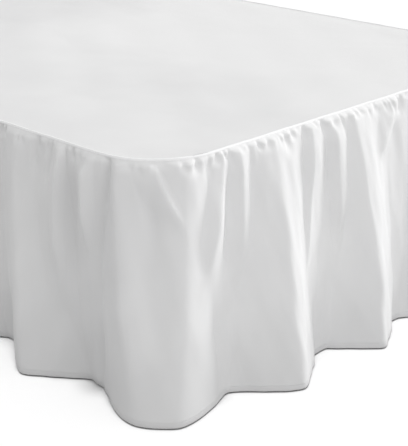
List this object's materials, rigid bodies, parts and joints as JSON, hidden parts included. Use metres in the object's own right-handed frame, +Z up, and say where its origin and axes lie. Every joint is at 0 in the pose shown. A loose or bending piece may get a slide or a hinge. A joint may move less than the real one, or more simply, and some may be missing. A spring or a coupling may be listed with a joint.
{
  "type": "bed skirt on bed base",
  "caption": "Gathered floor-length bed skirt with a flat platform cloth and a piped seam, fitted over a plain rounded bed base.",
  "frame": {"origin": "on the floor, under the middle of the whole object's plan", "axes": "+Z up from the floor, +Y along the bed from the foot to the head, +X across the bed to the right seen from the foot"},
  "size_m": [1.171, 2.0326, 0.3815],
  "materials": {
    "skirt_cloth": "plain woven white cotton blend, matt",
    "deck_cloth": "plain woven white platform cloth, matt",
    "piping_cloth": "white bias-cut cotton over a thin cord",
    "base_cloth": "plain grey-beige upholstery cloth",
    "foot_wood": "dark stained wood, satin"
  },
  "bodies": {
    "root": {"ruffle": "skirt_cloth", "deck": "deck_cloth", "piping": "piping_cloth", "bed_base": "base_cloth", "foot_left_1": "foot_wood", "foot_left_2": "foot_wood", "foot_left_3": "foot_wood", "foot_right_1": "foot_wood", "foot_right_2": "foot_wood", "foot_right_3": "foot_wood"}
  },
  "joints": []
}
